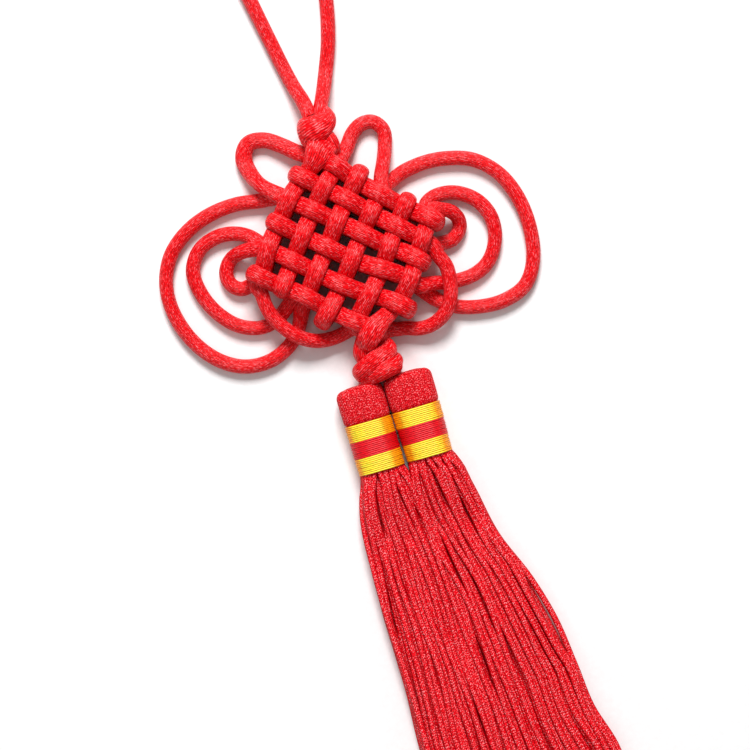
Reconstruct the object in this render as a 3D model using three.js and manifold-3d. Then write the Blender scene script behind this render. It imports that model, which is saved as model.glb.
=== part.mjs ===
// Chinese knot tassel: one satin cord tied into an endless knot with ten ears, a hanging loop
// above it, and two cord tassels below. It lies on its back on a flat surface.
// Millimetres, +Z up. X runs across the knot, Y towards the hanging loop, and z = 0 is the
// surface. Every route is written from the middle of the knot's woven body, and the last lines
// move the whole group so that the origin is the middle of its footprint.
//
// The weave: six row strands run down to the right and six column strands down to the left, on
// the front face and again on the back face. Each row, and each column, is a hairpin: it runs
// out on one face, turns over one edge of the body and comes back on the other face. The open
// end of a hairpin leads into an ear, or into one of the two button knots.

import * as THREE from 'three';
import { mergeVertices } from 'three/addons/utils/BufferGeometryUtils.js';
import Module from 'manifold-3d';

const wasm = await Module();
wasm.setup();

// The cord.
const CORD = 2.5;              // free cord, round
const PRESSED_WIDTH = 2.9;     // the same cord where the weave presses it
const PRESSED_THICK = 1.95;
const CORD_SIDES = 6;
const CROSSING_GAP = 0.23;     // between two strands that cross
const PIECE_GAP = 0.3;         // between two separate pieces
const REST = CORD / 2;         // height of the free cord's centre line on the surface

// The weave.
const WEAVE = 6;                                      // rows, and columns
const ALONG_ROW = new THREE.Vector2(3.35, -3.25);     // from one crossing to the next on a row
const ALONG_COLUMN = new THREE.Vector2(-2.82, -3.33); // and on a column
const CREST = 0.22;            // half the level stretch over a crossing, in crossings
const EXIT = 0.38;             // where a hairpin's open end stops past its last crossing
const INSIDE = 0.12;           // where the next piece of cord starts, inside that end
const TURN_REACH = 2.7;        // centre line of a hairpin's turn past its last crossing
const TURN_STEPS = 5;

// Heights of the weave, from the surface up.
const LIFT = (PRESSED_THICK + CROSSING_GAP) / 2;
const FACE_LEVEL = LIFT + (PRESSED_THICK + CROSSING_GAP) / 2;
const MIDDLE = FACE_LEVEL + LIFT + PRESSED_THICK / 2;

// Free cord.
const PRESSED_LENGTH = 3;      // over this length the cord goes from pressed to round
const TUCKED = 0.95;           // a piece of cord is this much slimmer than the one it starts in
const TURN_PER_STEP = THREE.MathUtils.degToRad(26);
const LONGEST_STEP = 6;
const FINE_STEP = 0.15;        // spacing of the points from which the steps are chosen

// The tassels.
const HEAD_THICK = 6.2;
const HEAD_LENGTH = 5.5;
const HEAD_CORNER = 2.3;
const LEAST_CORNER = 0.8;
const BAND_LENGTH = 2.6;
const BAND_WALL = 0.8;
const BAND_PROUD = 0.2;        // the bands stand this much wider than the head
const FLANGE_LENGTH = 1.0;     // the strands' roots, below the bands
const STRAND_WIDTH = 1.0;
const STRAND_HEIGHT = 0.95;
const STRAND_STEPS = 10;
const ROOT_COLUMNS = 6;
const ROOT_RANKS = 4;
const COLUMN_PITCH = 1.15;
const RANK_PITCH = 1.45;
const LOWEST_RANK = 0.55;
const LAYERS = 3;              // layers in which the fanned strands lie
const LAYER_PITCH = 1.1;
const FAN_LENGTH = 16;         // over this length the strands sink from the head to the surface
const TIP_UNEVEN = 2.5;

const CORD_RED = 0xd51530;
const STRAND_RED = 0xc8142c;
const BAND_YELLOW = 0xf3c01f;
const BAND_RED = 0xd21f2c;

const UP = new THREE.Vector3(0, 0, 1);
const STEEP = 0.35;            // a direction with less than this level part counts as upright

// Ears: each leads from one hairpin's open end to another's, through points [x, y, z].
// The face is 1 for the front strand of the hairpin and -1 for its back strand.
const EARS = [
  {
    name: 'upper right',
    from: { kind: 'column', index: 2, face: -1 },
    to: { kind: 'column', index: 4, face: 1 },
    points: [[4.6, 17.2, 1.9], [7.2, 19.3, REST], [10.4, 19.7, REST], [12.4, 17.6, REST],
      [12.3, 14.6, 1.5], [11.4, 11.3, 4.0]],
  },
  {
    name: 'right outer',
    from: { kind: 'column', index: 4, face: -1 },
    to: { kind: 'row', index: 4, face: -1 },
    points: [[13.6, 9.6, REST], [17.6, 9.9, REST], [21.6, 9.4, REST], [25.6, 7.9, REST],
      [29.1, 4.4, REST], [31.1, -0.7, REST], [31.5, -6.7, REST], [30.3, -12.0, REST],
      [27.8, -15.4, REST], [23.7, -16.8, REST], [19.3, -16.6, REST], [15.6, -15.6, REST],
      [12.0, -13.9, REST]],
  },
  {
    name: 'right inner',
    from: { kind: 'column', index: 6, face: -1 },
    to: { kind: 'row', index: 4, face: 1 },
    points: [[17.2, 4.2, REST], [20.9, 3.6, REST], [24.0, 1.2, REST], [25.6, -2.2, REST],
      [25.3, -6.0, REST], [23.1, -9.5, REST], [20.2, -11.2, REST], [16.6, -11.6, REST],
      [12.4, -11.8, 3.6]],
  },
  {
    name: 'right small',
    from: { kind: 'column', index: 6, face: 1 },
    to: { kind: 'row', index: 2, face: -1 },
    points: [[18.8, 1.2, 3.9], [20.7, -0.6, 1.6], [20.6, -3.0, REST], [18.2, -4.4, REST]],
  },
  {
    name: 'lower right',
    from: { kind: 'row', index: 2, face: 1 },
    to: { kind: 'row', index: 6, face: -1 },
    points: [[15.9, -7.2, 4.6], [16.5, -10.4, 4.2], [15.9, -13.2, 4.1], [14.0, -15.6, 3.9],
      [11.0, -17.3, 2.6], [7.6, -18.4, 1.6], [4.6, -18.9, 2.0]],
  },
  {
    name: 'upper left',
    from: { kind: 'row', index: 1, face: -1 },
    to: { kind: 'row', index: 3, face: 1 },
    points: [[-4.9, 18.9, 1.9], [-7.6, 20.9, REST], [-10.6, 20.9, REST], [-12.2, 18.8, REST],
      [-11.9, 16.2, 1.6], [-10.6, 13.6, 4.2]],
  },
  {
    name: 'left outer',
    from: { kind: 'row', index: 3, face: -1 },
    to: { kind: 'column', index: 3, face: -1 },
    points: [[-11.9, 11.6, REST], [-16.0, 12.2, REST], [-21.0, 11.7, REST], [-25.6, 9.9, REST],
      [-29.2, 6.9, REST], [-31.3, 2.6, REST], [-31.6, -2.2, REST], [-29.9, -8.0, REST],
      [-26.4, -12.7, REST], [-22.2, -15.1, REST], [-17.6, -15.3, REST], [-13.4, -13.7, REST]],
  },
  {
    name: 'left inner',
    from: { kind: 'row', index: 5, face: -1 },
    to: { kind: 'column', index: 3, face: 1 },
    points: [[-16.5, 7.2, REST], [-20.6, 7.7, REST], [-24.2, 6.4, REST], [-26.3, 3.2, REST],
      [-26.0, -1.0, REST], [-24.2, -5.0, REST], [-21.4, -8.0, REST], [-17.8, -9.3, REST],
      [-13.6, -9.3, 2.6]],
  },
  {
    name: 'left small',
    from: { kind: 'row', index: 5, face: 1 },
    to: { kind: 'column', index: 1, face: -1 },
    points: [[-17.4, 4.6, 3.2], [-20.0, 3.6, REST], [-21.4, 1.0, REST], [-20.4, -1.8, REST],
      [-18.0, -2.9, REST]],
  },
  {
    name: 'lower left',
    from: { kind: 'column', index: 1, face: 1 },
    to: { kind: 'column', index: 5, face: -1 },
    points: [[-16.7, -5.4, 5.0], [-16.0, -8.4, 4.6], [-14.2, -11.4, 4.3], [-11.6, -13.8, 4.1],
      [-8.4, -15.2, 2.6], [-5.4, -16.0, 2.0]],
  },
];

// Button knots: one cord turns once round the other. `turn` is how far a cord goes round, from
// `from` degrees, with 0 at the front and 90 at the right, and `drop` is the height it loses.
const BUTTONS = [
  {
    name: 'upper right',
    across: 0.9, width: 2.1, depth: 2.0, start: 21.6, drop: 3.2, from: 75, turn: -330,
    before: [[2.45, 23.5, MIDDLE], [2.45, 22.7, MIDDLE]],
    after: [[3.5, 16.8, 5.2]],
    end: { kind: 'column', index: 2, face: 1 },
  },
  {
    name: 'upper left',
    across: 0.9, width: 2.1, depth: 2.0, start: 21.0, drop: 3.1, from: 285, turn: -360,
    before: [[-0.3, 23.5, MIDDLE], [-0.3, 22.6, MIDDLE]],
    after: [],
    end: { kind: 'row', index: 1, face: 1 },
  },
  {
    name: 'lower right',
    across: -0.35, width: 2.95, depth: 2.2, start: -18.8, drop: 3.0, from: 75, turn: -330,
    end: { kind: 'row', index: 6, face: 1 },
    before: [],
    after: [[3.72, -22.4, 3.25], [3.75, -23.3, 3.2]],
  },
  {
    name: 'lower left',
    across: -0.35, width: 2.95, depth: 2.2, start: -19.3, drop: 3.1, from: 285, turn: -360,
    end: { kind: 'column', index: 5, face: 1 },
    before: [[-3.6, -16.6, 4.9]],
    after: [[-4.45, -22.9, 3.25], [-4.5, -23.75, 3.2]],
  },
];

// The hanging loop, from the right leg over the top and down the left leg.
const LOOP = [
  [2.45, 23.95, MIDDLE], [2.45, 25.0, 4.2], [3.4, 28.4, 2.4], [5.0, 33.0, REST], [7.0, 38.4, REST],
  [8.8, 44.6, REST], [9.9, 54.0, REST], [10.4, 66.0, REST], [10.2, 78.0, REST],
  [9.2, 88.0, REST], [6.6, 94.2, REST], [2.6, 96.4, REST], [-1.5, 94.4, REST],
  [-4.2, 88.2, REST], [-5.5, 78.0, REST], [-5.8, 66.0, REST], [-5.0, 54.0, REST],
  [-3.5, 44.6, REST], [-2.3, 37.6, REST], [-1.6, 32.4, REST], [-0.8, 28.0, 2.4],
  [-0.3, 25.0, 4.2], [-0.3, 23.95, MIDDLE],
];

// Tassels: the head's middle, width and top, and the skirt's edges on the way down.
const TASSELS = [
  {
    name: 'left', across: -4.8, width: 7.6, top: -24.4,
    skirt: [
      { y: -39, left: -8.3, right: -1.3 }, { y: -46, left: -10.6, right: -1.0 },
      { y: -55, left: -11.2, right: 0.2 }, { y: -65, left: -11.6, right: 1.4 },
      { y: -76, left: -11.8, right: 2.3 }, { y: -87, left: -12.1, right: 2.8 },
      { y: -105, left: -11.6, right: 3.3 }, { y: -125, left: -10.6, right: 3.5 },
      { y: -148, left: -9.6, right: 3.4 },
    ],
  },
  {
    name: 'right', across: 3.8, width: 7.8, top: -23.9,
    skirt: [
      { y: -39, left: 0.3, right: 7.4 }, { y: -46, left: 0.6, right: 9.4 },
      { y: -55, left: 1.6, right: 11.2 }, { y: -64, left: 2.6, right: 14.8 },
      { y: -72, left: 3.3, right: 17.0 }, { y: -80, left: 3.9, right: 17.8 },
      { y: -88, left: 4.3, right: 18.3 }, { y: -97, left: 4.7, right: 20.8 },
      { y: -120, left: 4.9, right: 21.0 }, { y: -148, left: 5.0, right: 20.0 },
    ],
  },
];
// Cord hidden inside each button knot, from its top to its bottom.
const BUTTON_CORES = [
  { across: 0.9, top: 22.6, bottom: 17.4, width: 3.0, thick: 2.8 },
  { across: -0.35, top: -18.2, bottom: -23.0, width: 4.4, thick: 3.2 },
];
const BANDS = [
  { name: 'top', colour: BAND_YELLOW },
  { name: 'middle', colour: BAND_RED },
  { name: 'low', colour: BAND_YELLOW },
];

// Rings of points, joined into one closed skin with a flat cap at each end.
function skin(rings) {
  const sides = rings[0].length;
  const positions = rings.flat().flatMap((point) => point.toArray());
  const faces = [];
  for (let ring = 0; ring < rings.length - 1; ring += 1) {
    for (let k = 0; k < sides; k += 1) {
      const a = ring * sides + k;
      const b = ring * sides + (k + 1) % sides;
      faces.push(a, b, b + sides, a, b + sides, a + sides);
    }
  }
  const last = (rings.length - 1) * sides;
  for (let k = 1; k < sides - 1; k += 1) {
    faces.push(0, k + 1, k);
    faces.push(last, last + k, last + k + 1);
  }
  const geometry = new THREE.BufferGeometry();
  geometry.setAttribute('position', new THREE.Float32BufferAttribute(positions, 3));
  geometry.setIndex(faces);
  return geometry;
}

// A tube along stations { at, wide, thick }, with a flat side down and mitred bends. `wide` is
// half its width, to its corners, and `thick` is half its thickness, to its flat sides. Where
// it climbs almost upright it keeps the side that it had.
function tube(stations, sides) {
  const rings = [];
  let across = null;
  stations.forEach((station, i) => {
    const before = stations[Math.max(i - 1, 0)].at;
    const after = stations[Math.min(i + 1, stations.length - 1)].at;
    const arriving = station.at.clone().sub(before);
    const leaving = after.clone().sub(station.at);
    if (i === 0) arriving.copy(leaving);
    if (i === stations.length - 1) leaving.copy(arriving);
    arriving.normalize();
    leaving.normalize();
    const along = arriving.clone().add(leaving).normalize();
    const level = UP.clone().cross(along);
    if (!across || level.length() > STEEP) {
      if (across && level.dot(across) < 0) level.negate();
      across = level;
    }
    across = across.clone().addScaledVector(along, -across.dot(along)).normalize();
    const up = along.clone().cross(across);
    const bend = leaving.clone().sub(arriving);
    const mitre = 1 / Math.max(along.dot(leaving), 0.7) - 1;
    if (bend.length() > 1e-6) bend.normalize();
    const ring = [];
    for (let k = 0; k < sides; k += 1) {
      const angle = -Math.PI / 2 + Math.PI / sides + k * 2 * Math.PI / sides;
      const toCorner = 1 / Math.cos(Math.PI / sides);
      const offset = across.clone().multiplyScalar(station.wide * Math.cos(angle));
      offset.addScaledVector(up, station.thick * toCorner * Math.sin(angle));
      offset.addScaledVector(bend, mitre * offset.dot(bend));
      ring.push(station.at.clone().add(offset));
    }
    rings.push(ring);
  });
  return skin(rings);
}

// The place of a crossing. Rows and columns count from 1, and parts of one lie between two.
function crossing(row, column) {
  const middle = (WEAVE + 1) / 2;
  return new THREE.Vector2()
    .addScaledVector(ALONG_ROW, column - middle)
    .addScaledVector(ALONG_COLUMN, row - middle);
}

// A point on a strand, `place` crossings along it.
function onStrand(kind, index, place, height) {
  const flat = kind === 'row' ? crossing(index, place) : crossing(place, index);
  return new THREE.Vector3(flat.x, flat.y, height);
}

// Rows pass outermost at odd crossings and columns at even ones, on both faces.
function strandHeight(kind, index, place, face) {
  const odd = (index + place) % 2 === 1;
  const outermost = kind === 'row' ? odd : !odd;
  return MIDDLE + face * (FACE_LEVEL + (outermost ? LIFT : -LIFT));
}

// Where a hairpin starts from and which way it runs: odd columns and even rows turn at their
// first crossing, and the others at their last.
function hairpinRun(kind, index) {
  const turnsAtFirst = kind === 'column' ? index % 2 === 1 : index % 2 === 0;
  return turnsAtFirst ? { open: WEAVE, step: -1 } : { open: 1, step: 1 };
}

function pressed(at) {
  return { at, wide: PRESSED_WIDTH / 2, thick: PRESSED_THICK / 2 };
}

// One hairpin, from its open end along the front, over its turn and back along the back.
function hairpin(kind, index) {
  const { open, step } = hairpinRun(kind, index);
  const closed = open + step * (WEAVE - 1);
  const leg = (face) => {
    const height = strandHeight(kind, index, open, face);
    const places = [onStrand(kind, index, open - step * EXIT, height)];
    for (let n = 0; n < WEAVE; n += 1) {
      const place = open + step * n;
      const level = strandHeight(kind, index, place, face);
      places.push(onStrand(kind, index, place - step * CREST, level));
      if (place !== closed) places.push(onStrand(kind, index, place + step * CREST, level));
    }
    return places;
  };
  const start = onStrand(kind, index, closed + step * CREST, MIDDLE);
  const outward = start.clone().sub(onStrand(kind, index, closed, MIDDLE));
  const reach = TURN_REACH - outward.length();
  outward.normalize();
  const rise = FACE_LEVEL + LIFT;
  const turn = [];
  for (let n = 0; n <= TURN_STEPS; n += 1) {
    const angle = Math.PI * n / TURN_STEPS;
    const at = start.clone().addScaledVector(outward, reach * Math.sin(angle));
    at.z = MIDDLE + rise * Math.cos(angle);
    turn.push(at);
  }
  const route = [...leg(1), ...turn, ...leg(-1).reverse()];
  return tube(route.map(pressed), CORD_SIDES);
}

// The two points at a hairpin's open end that a piece of free cord starts from.
function openEnd({ kind, index, face }) {
  const { open, step } = hairpinRun(kind, index);
  const height = strandHeight(kind, index, open, face);
  return [INSIDE, EXIT].map((past) => onStrand(kind, index, open - step * past, height));
}

// Points on a smooth curve, close together where it bends and far apart where it is straight.
function smoothRoute(points) {
  const curve = new THREE.CatmullRomCurve3(points, false, 'centripetal');
  const fine = curve.getSpacedPoints(Math.ceil(curve.getLength() / FINE_STEP));
  fine.forEach((point) => point.setZ(Math.max(point.z, REST)));
  const route = [{ at: fine[0], far: 0 }];
  let turned = 0;
  let gone = 0;
  let far = 0;
  for (let i = 1; i < fine.length - 1; i += 1) {
    const arriving = fine[i].clone().sub(fine[i - 1]);
    turned += arriving.angleTo(fine[i + 1].clone().sub(fine[i]));
    gone += arriving.length();
    far += arriving.length();
    const last = i === fine.length - 2;
    if (!last && (turned > TURN_PER_STEP || gone > LONGEST_STEP)) {
      route.push({ at: fine[i], far });
      turned = 0;
      gone = 0;
    }
  }
  route.push({ at: fine[fine.length - 1], far: far + FINE_STEP });
  return route;
}

// Free cord along a smooth route. An end that starts in the weave is pressed and tucked in.
function freeCord(points, tuckedStart, tuckedEnd) {
  const route = smoothRoute(points);
  const length = route[route.length - 1].far;
  const stations = route.map(({ at, far }) => {
    let press = 0;
    if (tuckedStart) press = Math.max(press, 1 - far / PRESSED_LENGTH);
    if (tuckedEnd) press = Math.max(press, 1 - (length - far) / PRESSED_LENGTH);
    return {
      at,
      wide: THREE.MathUtils.lerp(CORD, PRESSED_WIDTH * TUCKED, press) / 2,
      thick: THREE.MathUtils.lerp(CORD, PRESSED_THICK * TUCKED, press) / 2,
    };
  });
  return tube(stations, CORD_SIDES);
}

function ear({ from, to, points }) {
  const middle = points.map((point) => new THREE.Vector3(...point));
  return freeCord([...openEnd(from), ...middle, ...openEnd(to).reverse()], true, true);
}

// One cord's part of a button knot: in at the top, once round, and out at the bottom.
function buttonTurn(button) {
  const steps = 12;
  const turns = [];
  for (let n = 0; n <= steps; n += 1) {
    const angle = THREE.MathUtils.degToRad(button.from + button.turn * n / steps);
    turns.push(new THREE.Vector3(
      button.across + button.width * Math.sin(angle),
      button.start - button.drop * n / steps,
      MIDDLE + button.depth * Math.cos(angle),
    ));
  }
  const before = button.before.map((point) => new THREE.Vector3(...point));
  const after = button.after.map((point) => new THREE.Vector3(...point));
  const fromTop = button.start > 0;
  const end = openEnd(button.end);
  const route = fromTop
    ? [...before, ...turns, ...after, ...end.reverse()]
    : [...end, ...before, ...turns, ...after];
  return freeCord(route, !fromTop, fromTop);
}

function buttonCore({ across, top, bottom, width, thick }) {
  const stations = [top, bottom].map((y) => ({
    at: new THREE.Vector3(across, y, MIDDLE), wide: width / 2, thick: thick / 2,
  }));
  return tube(stations, CORD_SIDES);
}

function solidOf(geometry) {
  const bare = geometry.clone();
  bare.deleteAttribute('normal');
  bare.deleteAttribute('uv');
  const merged = mergeVertices(bare, 1e-4);
  return new wasm.Manifold(new wasm.Mesh({
    numProp: 3,
    vertProperties: new Float32Array(merged.attributes.position.array),
    triVerts: new Uint32Array(merged.index.array),
  }));
}

// The union of several closed shapes, without the specks and pinholes that the joins leave.
function joined(geometries) {
  let whole = solidOf(geometries[0]);
  geometries.slice(1).forEach((geometry) => {
    whole = whole.add(solidOf(geometry));
  });
  const [body] = whole.decompose().sort((a, b) => b.volume() - a.volume());
  const mesh = body.getMesh();
  const geometry = new THREE.BufferGeometry();
  geometry.setAttribute('position', new THREE.BufferAttribute(mesh.vertProperties, 3));
  geometry.setIndex(new THREE.BufferAttribute(mesh.triVerts, 1));
  return geometry;
}

function knotCord() {
  const pieces = [];
  for (let index = 1; index <= WEAVE; index += 1) {
    pieces.push(hairpin('row', index), hairpin('column', index));
  }
  return joined([
    ...pieces, ...EARS.map(ear), ...BUTTONS.map(buttonTurn), ...BUTTON_CORES.map(buttonCore),
  ]);
}

function hangingLoop() {
  return freeCord(LOOP.map((point) => new THREE.Vector3(...point)), false, false);
}

// A rounded rectangle's points, anticlockwise, with its bottom on z = base.
function roundedOutline(width, thick, corner, base) {
  const corners = [[1, 0, -90], [1, 1, 0], [-1, 1, 90], [-1, 0, 180]];
  const stepsPerCorner = 3;
  return corners.flatMap(([side, level, start]) => {
    const x = side * (width / 2 - corner);
    const z = base + (level ? thick - corner : corner);
    return Array.from({ length: stepsPerCorner + 1 }, (_, n) => {
      const angle = THREE.MathUtils.degToRad(start + 90 * n / stepsPerCorner);
      return new THREE.Vector2(x + corner * Math.cos(angle), z + corner * Math.sin(angle));
    });
  });
}

function bandLevel(number) {
  return HEAD_LENGTH + PIECE_GAP + number * (BAND_LENGTH + PIECE_GAP);
}

// The head: a domed barrel, a neck that the bands go round, and a flange for the roots.
function tasselHead(tassel) {
  const neckInset = BAND_WALL + PIECE_GAP - BAND_PROUD;
  const neck = { inset: neckInset, base: BAND_WALL + PIECE_GAP, top: HEAD_THICK - neckInset };
  const neckEnd = bandLevel(BANDS.length);
  const full = { inset: 0, base: 0, top: HEAD_THICK };
  const profile = [
    { down: 0, inset: 2.0, base: 1.5, top: HEAD_THICK - 1.5 },
    { down: 0.5, inset: 1.0, base: 0.7, top: HEAD_THICK - 0.7 },
    { down: 1.4, inset: 0.3, base: 0.2, top: HEAD_THICK - 0.2 },
    { down: 2.4, ...full },
    { down: HEAD_LENGTH, ...full },
    { down: HEAD_LENGTH, ...neck },
    { down: neckEnd, ...neck },
    { down: neckEnd, ...full },
    { down: neckEnd + FLANGE_LENGTH, ...full },
  ];
  const rings = profile.map(({ down, inset, base, top }) => {
    const width = tassel.width - 2 * inset;
    const corner = Math.max(HEAD_CORNER - Math.max(inset, base), LEAST_CORNER);
    return roundedOutline(width, top - base, corner, base).map(
      (point) => new THREE.Vector3(tassel.across + point.x, tassel.top - down, point.y),
    );
  });
  return skin(rings);
}

// The skirt's edges at a given y, on straight lines between the table's rows.
function skirtAt(skirt, y) {
  const found = skirt.findIndex((row) => row.y < y);
  const below = found < 0 ? skirt.length - 1 : Math.max(found, 1);
  const next = skirt[below];
  const last = skirt[below - 1];
  const part = THREE.MathUtils.clamp((y - last.y) / (next.y - last.y), 0, 1);
  return {
    left: THREE.MathUtils.lerp(last.left, next.left, part),
    right: THREE.MathUtils.lerp(last.right, next.right, part),
  };
}

// One strand: from its root in the head it fans out, sinks to its layer and lies straight.
function strand(tassel, number, rank) {
  const count = ROOT_COLUMNS * ROOT_RANKS;
  const rootTop = tassel.top - bandLevel(BANDS.length) - FLANGE_LENGTH / 2;
  const column = Math.floor(number / ROOT_RANKS);
  const rootAcross = tassel.across + (column - (ROOT_COLUMNS - 1) / 2) * COLUMN_PITCH;
  const rootHeight = LOWEST_RANK + rank * RANK_PITCH;
  const restHeight = STRAND_HEIGHT / 3 + (number % LAYERS) * LAYER_PITCH;
  const tip = tassel.skirt[tassel.skirt.length - 1].y + TIP_UNEVEN * Math.sin(number * 2.4);
  const across = (y) => {
    const { left, right } = skirtAt(tassel.skirt, y);
    const room = right - left - STRAND_WIDTH;
    return left + STRAND_WIDTH / 2 + room * number / (count - 1);
  };
  const stations = [];
  for (let n = 0; n <= STRAND_STEPS; n += 1) {
    const part = n / STRAND_STEPS;
    const y = rootTop + (tip - rootTop) * part ** 1.35;
    const sunk = THREE.MathUtils.smoothstep(rootTop - y, 0, FAN_LENGTH);
    stations.push({
      at: new THREE.Vector3(
        THREE.MathUtils.lerp(rootAcross, across(y), Math.min(sunk * 1.6, 1)),
        y,
        THREE.MathUtils.lerp(rootHeight, restHeight, sunk),
      ),
      wide: STRAND_WIDTH / 2 / Math.cos(Math.PI / 6),
      thick: STRAND_HEIGHT / 3,
    });
  }
  return tube(stations, 3);
}

function tasselBody(tassel) {
  const pieces = [tasselHead(tassel)];
  for (let column = 0; column < ROOT_COLUMNS; column += 1) {
    const members = Array.from({ length: ROOT_RANKS }, (_, n) => column * ROOT_RANKS + n);
    members.sort((a, b) => a % LAYERS - b % LAYERS);
    members.forEach((number, rank) => pieces.push(strand(tassel, number, rank)));
  }
  return joined(pieces);
}

// A wrapped thread band round the neck of a tassel's head.
function bandRing(tassel) {
  const width = tassel.width + 2 * BAND_PROUD;
  const thick = HEAD_THICK + BAND_PROUD;
  const shape = new THREE.Shape(roundedOutline(width, thick, HEAD_CORNER, 0));
  const hole = roundedOutline(
    width - 2 * BAND_WALL, thick - 2 * BAND_WALL, HEAD_CORNER - BAND_WALL, BAND_WALL,
  );
  shape.holes.push(new THREE.Path(hole));
  const geometry = new THREE.ExtrudeGeometry(shape, { depth: BAND_LENGTH, bevelEnabled: false });
  return geometry.rotateX(Math.PI / 2);
}

function piece(name, geometry, colour, roughness) {
  const material = new THREE.MeshStandardMaterial({ color: colour, roughness, metalness: 0 });
  const mesh = new THREE.Mesh(geometry, material);
  mesh.name = name;
  return mesh;
}

const knot = new THREE.Group();
knot.add(piece('knot_cord', knotCord(), CORD_RED, 0.5));
knot.add(piece('hanging_loop', hangingLoop(), CORD_RED, 0.5));
TASSELS.forEach((tassel) => {
  knot.add(piece(`tassel_${tassel.name}`, tasselBody(tassel), STRAND_RED, 0.6));
  BANDS.forEach((band, number) => {
    const ring = piece(`band_${band.name}_${tassel.name}`, bandRing(tassel), band.colour, 0.4);
    ring.position.set(tassel.across, tassel.top - bandLevel(number), 0);
    knot.add(ring);
  });
});

const footprint = new THREE.Box3().setFromObject(knot).getCenter(new THREE.Vector3());
knot.position.set(-footprint.x, -footprint.y, 0);

export default knot;
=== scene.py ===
import math
import random

import bpy
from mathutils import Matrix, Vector


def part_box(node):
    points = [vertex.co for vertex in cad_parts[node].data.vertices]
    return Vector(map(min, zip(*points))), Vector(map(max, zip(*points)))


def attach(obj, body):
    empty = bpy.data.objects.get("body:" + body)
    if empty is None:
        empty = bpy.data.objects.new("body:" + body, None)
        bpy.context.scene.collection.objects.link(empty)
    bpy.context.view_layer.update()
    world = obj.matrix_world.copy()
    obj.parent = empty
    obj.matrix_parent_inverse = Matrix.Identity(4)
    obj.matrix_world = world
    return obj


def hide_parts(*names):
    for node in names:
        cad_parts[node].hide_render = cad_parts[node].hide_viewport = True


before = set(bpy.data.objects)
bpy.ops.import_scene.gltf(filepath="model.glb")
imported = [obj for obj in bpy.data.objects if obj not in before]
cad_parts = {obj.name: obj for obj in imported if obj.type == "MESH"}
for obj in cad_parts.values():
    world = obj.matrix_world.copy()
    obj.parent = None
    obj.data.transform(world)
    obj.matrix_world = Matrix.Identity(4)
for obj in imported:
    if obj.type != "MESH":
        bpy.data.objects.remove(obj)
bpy.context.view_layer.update()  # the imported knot: bodies, nodes, joints and record

mm = 0.001
up = Vector((0, 0, 1))

# Routes are in millimetres from the middle of the woven body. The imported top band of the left
# tassel shows where that lies
bandLow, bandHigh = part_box("band_top_left")
packedBand = {"across": -4.8, "top": -30.2}
knotMiddle = Vector((
    (bandLow.x + bandHigh.x) / 2 - packedBand["across"] * mm,
    bandHigh.y - packedBand["top"] * mm,
    0,
))


def inFrame(point):
    return knotMiddle + Vector(point[:3]) * mm


# Nodes, first the small helpers that every tree uses
def addNode(tree, kind, inputs=None, **settings):
    node = tree.nodes.new(kind)
    for name, value in settings.items():
        setattr(node, name, value)
    for key, value in (inputs or {}).items():
        if isinstance(value, bpy.types.NodeSocket):
            tree.links.new(value, node.inputs[key])
        else:
            node.inputs[key].default_value = value
    return node


def number(tree, operation, a, b=0.0, c=0.0):
    node = addNode(tree, "ShaderNodeMath", {0: a, 1: b, 2: c}, operation=operation)
    return node.outputs[0]


def vectorMath(tree, operation, a, b):
    node = addNode(tree, "ShaderNodeVectorMath", {0: a, 1: b}, operation=operation)
    return node.outputs["Value" if operation == "DOT_PRODUCT" else "Vector"]


def scaled(tree, vector, factor):
    node = addNode(tree, "ShaderNodeVectorMath", {0: vector, "Scale": factor}, operation="SCALE")
    return node.outputs["Vector"]


def named(tree, name, kind):
    node = addNode(tree, "GeometryNodeInputNamedAttribute", {"Name": name}, data_type=kind)
    return node.outputs["Attribute"]


def newTree(name, inputs):
    tree = bpy.data.node_groups.new(name, "GeometryNodeTree")
    for label, kind, value in inputs:
        socket = tree.interface.new_socket(label, in_out="INPUT", socket_type=kind)
        if value is not None:
            socket.default_value = value
    tree.interface.new_socket("Mesh", in_out="OUTPUT", socket_type="NodeSocketGeometry")
    return tree, tree.nodes.new("NodeGroupInput").outputs, tree.nodes.new("NodeGroupOutput")


def captured(tree, geometry, fields):
    kept = addNode(tree, "GeometryNodeCaptureAttribute", {0: geometry})
    for kind, name, field in fields:
        kept.capture_items.new(kind, name)
        tree.links.new(field, kept.inputs[name])
    return kept.outputs


def finishTree(tree, mesh, grid, material, result):
    # the UV map, smooth faces, real geometry and the material, which end every tree here
    mapped = addNode(tree, "GeometryNodeStoreNamedAttribute", {
        "Geometry": mesh, "Name": "UVMap", "Value": grid,
    }, data_type="FLOAT2", domain="CORNER")
    smooth = addNode(tree, "GeometryNodeSetShadeSmooth", {"Geometry": mapped.outputs[0]})
    real = addNode(tree, "GeometryNodeRealizeInstances", {"Geometry": smooth.outputs[0]})
    done = addNode(tree, "GeometryNodeSetMaterial", {
        "Geometry": real.outputs[0], "Material": material,
    })
    tree.links.new(done.outputs[0], result.inputs[0])


def roundTurn(tree, turn):
    # the face that closes a ring runs on to 1 instead of back to 0
    faceTurn = addNode(tree, "GeometryNodeFieldOnDomain", {0: turn}, domain="FACE").outputs[0]
    first = number(tree, "LESS_THAN", turn, 0.001)
    last = number(tree, "GREATER_THAN", faceTurn, 0.3)
    return number(tree, "MULTIPLY_ADD", first, last, turn)


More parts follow.
